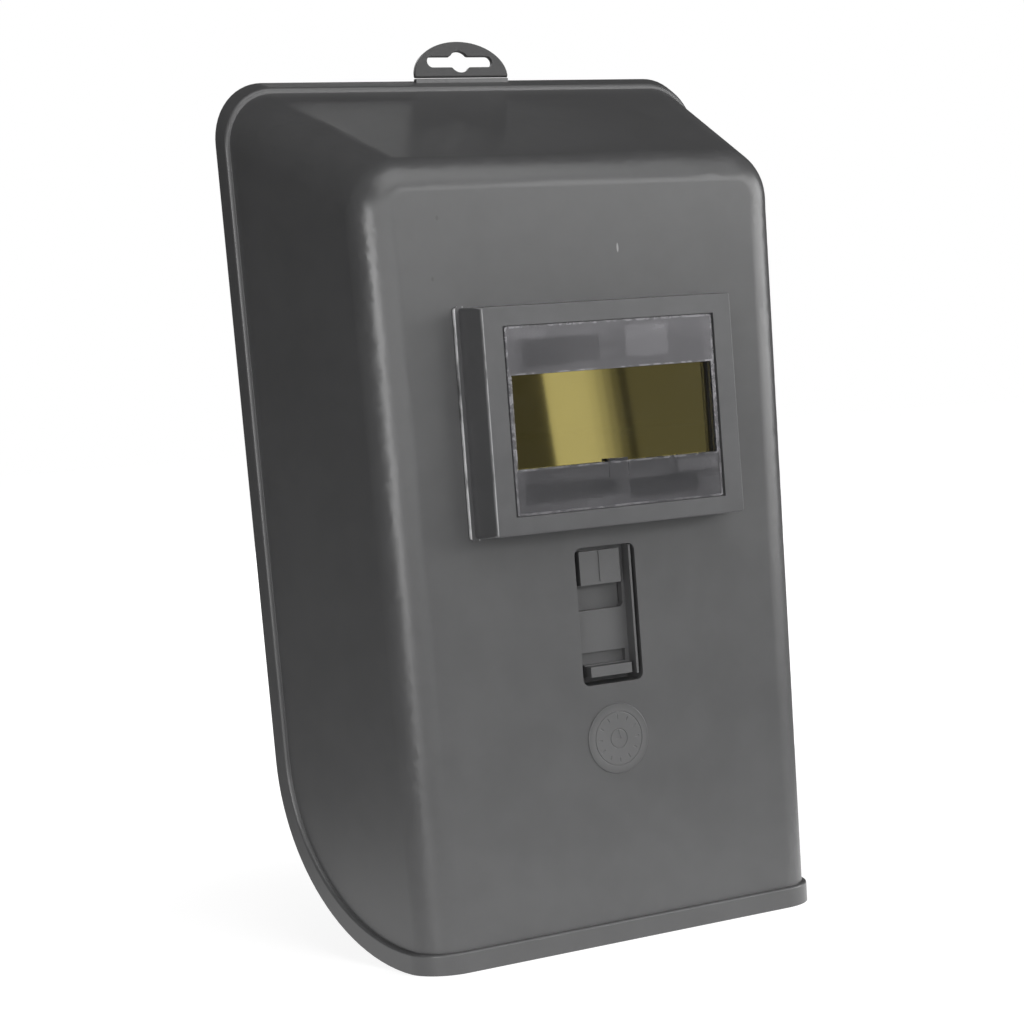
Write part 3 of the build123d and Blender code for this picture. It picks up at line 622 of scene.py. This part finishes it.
class SHIELD_OT_studio(bpy.types.Operator):
    """Add a pale floor, soft lights and the camera"""

    bl_idname = "shield.studio"
    bl_label = "Studio"

    def execute(self, context):
        scene = context.scene
        scene.view_settings.view_transform = "Standard"
        scene.view_settings.look = "None"
        self.floor()
        self.world(scene)
        self.lights()
        self.camera(scene)
        return {"FINISHED"}

    def floor(self):
        """Pale floor, paler further out to the camera; as a light it glows mainly near the foot."""
        shape = bmesh.new()
        bmesh.ops.create_circle(shape, cap_ends=True, radius=FLOOR_RADIUS, segments=96)
        mesh = bpy.data.meshes.new("studio_floor")
        shape.to_mesh(mesh)
        shape.free()
        floor = bpy.data.objects.new("studio_floor", mesh)
        bpy.context.scene.collection.objects.link(floor)
        finish = Finish("studio_floor_white")
        reach = finish.add("ShaderNodeVectorMath", "Value", {"operation": "LENGTH"})
        connect(finish.tree, reach.socket.node.inputs[0], finish.place)
        seen = finish.add("ShaderNodeLightPath", "Is Camera Ray")
        backdrop = reach.rise(0.20, 0.75) * 0.18 + 0.80
        glow = reach.rise(0.46, 0.10) * FLOOR_GLOW + 0.03
        light = seen * backdrop + (1 - seen) * glow
        finish.set(Base_Color=(0.32, 0.32, 0.32, 1), Roughness=0.9, Emission_Strength=1.0)
        finish.set(Emission_Color=finish.mix(light, (0, 0, 0, 1), (1, 1, 1, 1)))
        mesh.materials.append(finish.material)

    def world(self, scene):
        """White to the camera, dim as a light."""
        world = bpy.data.worlds.new("studio_white")
        scene.world = world
        world.use_nodes = True
        tree = world.node_tree
        back = tree.nodes["Background"]
        path = tree.nodes.new("ShaderNodeLightPath")
        seen = Wire(tree, path.outputs["Is Camera Ray"])
        back.inputs["Color"].default_value = (1, 1, 1, 1)
        connect(tree, back.inputs["Strength"], seen * (1 - WORLD_GLOW) + WORLD_GLOW)

    def lights(self):
        """Soft lights round the shield, each at (x, y, z) with its width, height and power."""
        soft_light("key_right", (3.70, -1.52, 0.45), LIT_MIDDLE, 3.4, 2.2, 124)
        soft_light("front_wide", (-0.35, -1.97, 0.50), LIT_MIDDLE, 2.0, 0.9, 17)
        soft_light("edge_left", (-1.38, -1.16, 0.25), LIT_MIDDLE, 0.56, 0.70, 13.6)
        soft_light("high_front", (0.27, -1.51, 2.05), LIT_MIDDLE, 2.4, 1.8, 38)
        soft_light("sheen_right", (1.16, -1.79, 0.73), LIT_MIDDLE, 1.0, 0.4, 8.2)
        soft_light("back_soft", (0.50, 2.60, 1.00), LIT_MIDDLE, 2.0, 1.6, 34)
        self.mirror_cards()

    def mirror_cards(self):
        """A bright upright card that fades out to the right, between two dim ones, for the filter."""
        window = Vector((0, FACE_Y, WINDOW.z))
        along = Vector((-MIRROR_REACH.y, MIRROR_REACH.x, 0)).normalized()
        cards = [(-SIDE_REACH, CARD_LEFT, LEFT_GLOW), (CARD_LEFT, CARD_SOFT_FROM, CARD_GLOW)]
        step = (CARD_SOFT_TO - CARD_SOFT_FROM) / CARD_STRIPS
        for strip in range(CARD_STRIPS):
            way = (strip + 0.5) / CARD_STRIPS
            fade = 1 - way * way * (3 - 2 * way)
            left = CARD_SOFT_FROM + strip * step
            cards.append((left, left + step, CARD_GLOW * fade))
        cards.append((CARD_SOFT_TO, SIDE_REACH, RIGHT_GLOW))
        for number, (left, right, glow) in enumerate(cards):
            shift = along * (left + right) / 2
            width = right - left
            power = glow * pi * width * MIRROR_TALL
            place = window + MIRROR_REACH + shift
            name = f"mirror_card_{number}"
            soft_light(name, place, window + shift, width, MIRROR_TALL, power, MIRROR_TILT)

    def camera(self, scene):
        data = bpy.data.cameras.new("camera")
        data.sensor_width = 36
        data.lens = CAMERA_LENS
        data.clip_end = 50
        camera = bpy.data.objects.new("camera", data)
        scene.collection.objects.link(camera)
        flat = cos(CAMERA_PITCH)
        ahead = Vector((sin(CAMERA_YAW) * flat, cos(CAMERA_YAW) * flat, -sin(CAMERA_PITCH)))
        level = Vector((cos(CAMERA_YAW), -sin(CAMERA_YAW), 0))
        up = level.cross(ahead)
        right = level * cos(CAMERA_ROLL) + up * sin(CAMERA_ROLL)
        up = up * cos(CAMERA_ROLL) - level * sin(CAMERA_ROLL)
        turn = Matrix((right, up, -ahead)).transposed().to_4x4()
        camera.matrix_world = Matrix.Translation(CAMERA_PLACE) @ turn
        scene.camera = camera


class SHIELD_PT_panel(bpy.types.Panel):
    """The shield's steps in the sidebar"""

    bl_label = "Welding Shield"
    bl_space_type = "VIEW_3D"
    bl_region_type = "UI"
    bl_category = "Shield"

    def draw(self, context):
        looks = context.scene.shield_looks
        for name in looks.__annotations__:
            self.layout.prop(looks, name)
        for step in STEPS:
            self.layout.operator(step.bl_idname)


STEPS = (
    SHIELD_OT_shell,
    SHIELD_OT_window,
    SHIELD_OT_glazing,
    SHIELD_OT_grip,
    SHIELD_OT_fasteners,
    SHIELD_OT_studio,
)


def register():
    bpy.utils.register_class(ShieldLooks)
    for step in STEPS:
        bpy.utils.register_class(step)
    bpy.utils.register_class(SHIELD_PT_panel)
    bpy.types.Scene.shield_looks = bpy.props.PointerProperty(type=ShieldLooks)


def unregister():
    del bpy.types.Scene.shield_looks
    bpy.utils.unregister_class(SHIELD_PT_panel)
    for step in reversed(STEPS):
        bpy.utils.unregister_class(step)
    bpy.utils.unregister_class(ShieldLooks)


def main():
    register()
    bpy.ops.shield.shell()
    bpy.ops.shield.window()
    bpy.ops.shield.glazing()
    bpy.ops.shield.grip()
    bpy.ops.shield.fasteners()
    bpy.ops.shield.studio()


if __name__ == "__main__":
    main()
